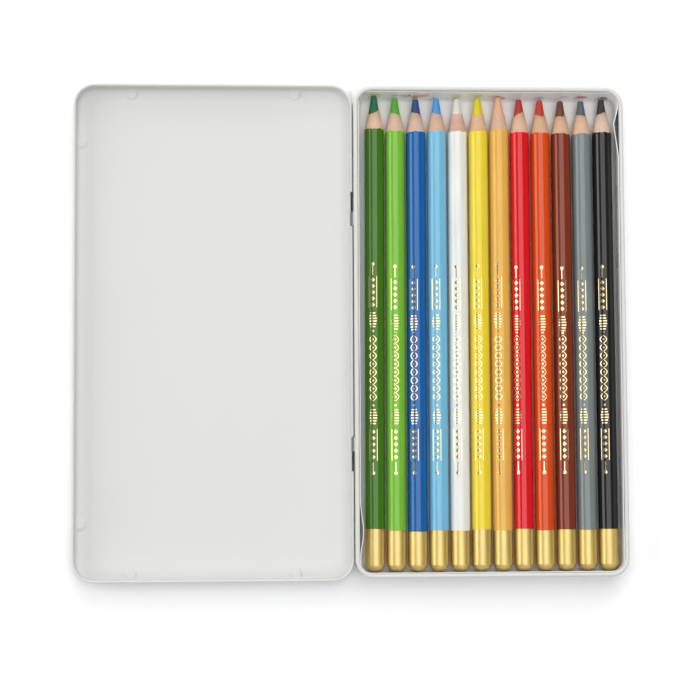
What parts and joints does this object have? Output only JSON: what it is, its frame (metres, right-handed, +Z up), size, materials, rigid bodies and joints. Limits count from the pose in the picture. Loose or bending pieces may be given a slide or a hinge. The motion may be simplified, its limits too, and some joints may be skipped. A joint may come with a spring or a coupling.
{
  "type": "colored pencil tin",
  "caption": "Slim hinged tinplate case, opened flat, with a thin liner tray holding a row of round colour pencils with gold-dipped ends.",
  "frame": {"origin": "on the table, under the middle of the open case's bounding box", "axes": "+X from the lid across the hinge to the tray, +Y towards the pencil tips, +Z up"},
  "size_m": [0.2022, 0.1822, 0.0099],
  "materials": {
    "white_lacquer": "gloss white lacquer on tinplate",
    "liner_plastic": "satin off-white thermoformed sheet",
    "bare_steel": "bare tinplate and wire, dull",
    "pencil_wood": "raw sharpened cedar-like wood",
    "gold_dip": "metallic gold dip lacquer",
    "lacquer_dark_green": "gloss lacquer",
    "core_dark_green": "waxy matt colour core",
    "lacquer_light_green": "gloss lacquer",
    "core_light_green": "waxy matt colour core",
    "lacquer_blue": "gloss lacquer",
    "core_blue": "waxy matt colour core",
    "lacquer_sky_blue": "gloss lacquer",
    "core_sky_blue": "waxy matt colour core",
    "lacquer_white": "gloss lacquer",
    "core_white": "waxy matt colour core",
    "lacquer_yellow": "gloss lacquer",
    "core_yellow": "waxy matt colour core",
    "lacquer_ochre": "gloss lacquer",
    "core_ochre": "waxy matt colour core",
    "lacquer_red": "gloss lacquer",
    "core_red": "waxy matt colour core",
    "lacquer_orange": "gloss lacquer",
    "core_orange": "waxy matt colour core",
    "lacquer_brown": "gloss lacquer",
    "core_brown": "waxy matt colour core",
    "lacquer_grey": "gloss lacquer",
    "core_grey": "waxy matt colour core",
    "lacquer_black": "gloss lacquer",
    "core_black": "waxy matt colour core"
  },
  "bodies": {
    "base": {"base_tray": "white_lacquer", "liner_tray": "liner_plastic", "hinge_knuckle_tip_end": "bare_steel", "hinge_knuckle_butt_end": "bare_steel"},
    "lid": {"lid": "white_lacquer", "hinge_wire_tip_end": "bare_steel", "hinge_wire_butt_end": "bare_steel"},
    "pencil_01": {"pencil_01_casing": "pencil_wood", "pencil_01_core": "core_dark_green", "pencil_01_lacquer": "lacquer_dark_green", "pencil_01_dip": "gold_dip"},
    "pencil_02": {"pencil_02_casing": "pencil_wood", "pencil_02_core": "core_light_green", "pencil_02_lacquer": "lacquer_light_green", "pencil_02_dip": "gold_dip"},
    "pencil_03": {"pencil_03_casing": "pencil_wood", "pencil_03_core": "core_blue", "pencil_03_lacquer": "lacquer_blue", "pencil_03_dip": "gold_dip"},
    "pencil_04": {"pencil_04_casing": "pencil_wood", "pencil_04_core": "core_sky_blue", "pencil_04_lacquer": "lacquer_sky_blue", "pencil_04_dip": "gold_dip"},
    "pencil_05": {"pencil_05_casing": "pencil_wood", "pencil_05_core": "core_white", "pencil_05_lacquer": "lacquer_white", "pencil_05_dip": "gold_dip"},
    "pencil_06": {"pencil_06_casing": "pencil_wood", "pencil_06_core": "core_yellow", "pencil_06_lacquer": "lacquer_yellow", "pencil_06_dip": "gold_dip"},
    "pencil_07": {"pencil_07_casing": "pencil_wood", "pencil_07_core": "core_ochre", "pencil_07_lacquer": "lacquer_ochre", "pencil_07_dip": "gold_dip"},
    "pencil_08": {"pencil_08_casing": "pencil_wood", "pencil_08_core": "core_red", "pencil_08_lacquer": "lacquer_red", "pencil_08_dip": "gold_dip"},
    "pencil_09": {"pencil_09_casing": "pencil_wood", "pencil_09_core": "core_orange", "pencil_09_lacquer": "lacquer_orange", "pencil_09_dip": "gold_dip"},
    "pencil_10": {"pencil_10_casing": "pencil_wood", "pencil_10_core": "core_brown", "pencil_10_lacquer": "lacquer_brown", "pencil_10_dip": "gold_dip"},
    "pencil_11": {"pencil_11_casing": "pencil_wood", "pencil_11_core": "core_grey", "pencil_11_lacquer": "lacquer_grey", "pencil_11_dip": "gold_dip"},
    "pencil_12": {"pencil_12_casing": "pencil_wood", "pencil_12_core": "core_black", "pencil_12_lacquer": "lacquer_black", "pencil_12_dip": "gold_dip"}
  },
  "joints": [
    {"name": "lid_hinge", "type": "hinge", "parent": "base", "child": "lid", "pos_m": [0.00057, 0, 0.00534], "axis": [0, -1, 0], "range_deg": [-180, 0]},
    {"name": "pencil_01_lift", "type": "slide", "parent": "base", "child": "pencil_01", "axis": [0, 0, 1], "range_m": [0, 0.035]},
    {"name": "pencil_02_lift", "type": "slide", "parent": "base", "child": "pencil_02", "axis": [0, 0, 1], "range_m": [0, 0.035]},
    {"name": "pencil_03_lift", "type": "slide", "parent": "base", "child": "pencil_03", "axis": [0, 0, 1], "range_m": [0, 0.035]},
    {"name": "pencil_04_lift", "type": "slide", "parent": "base", "child": "pencil_04", "axis": [0, 0, 1], "range_m": [0, 0.035]},
    {"name": "pencil_05_lift", "type": "slide", "parent": "base", "child": "pencil_05", "axis": [0, 0, 1], "range_m": [0, 0.035]},
    {"name": "pencil_06_lift", "type": "slide", "parent": "base", "child": "pencil_06", "axis": [0, 0, 1], "range_m": [0, 0.035]},
    {"name": "pencil_07_lift", "type": "slide", "parent": "base", "child": "pencil_07", "axis": [0, 0, 1], "range_m": [0, 0.035]},
    {"name": "pencil_08_lift", "type": "slide", "parent": "base", "child": "pencil_08", "axis": [0, 0, 1], "range_m": [0, 0.035]},
    {"name": "pencil_09_lift", "type": "slide", "parent": "base", "child": "pencil_09", "axis": [0, 0, 1], "range_m": [0, 0.035]},
    {"name": "pencil_10_lift", "type": "slide", "parent": "base", "child": "pencil_10", "axis": [0, 0, 1], "range_m": [0, 0.035]},
    {"name": "pencil_11_lift", "type": "slide", "parent": "base", "child": "pencil_11", "axis": [0, 0, 1], "range_m": [0, 0.035]},
    {"name": "pencil_12_lift", "type": "slide", "parent": "base", "child": "pencil_12", "axis": [0, 0, 1], "range_m": [0, 0.035]}
  ]
}
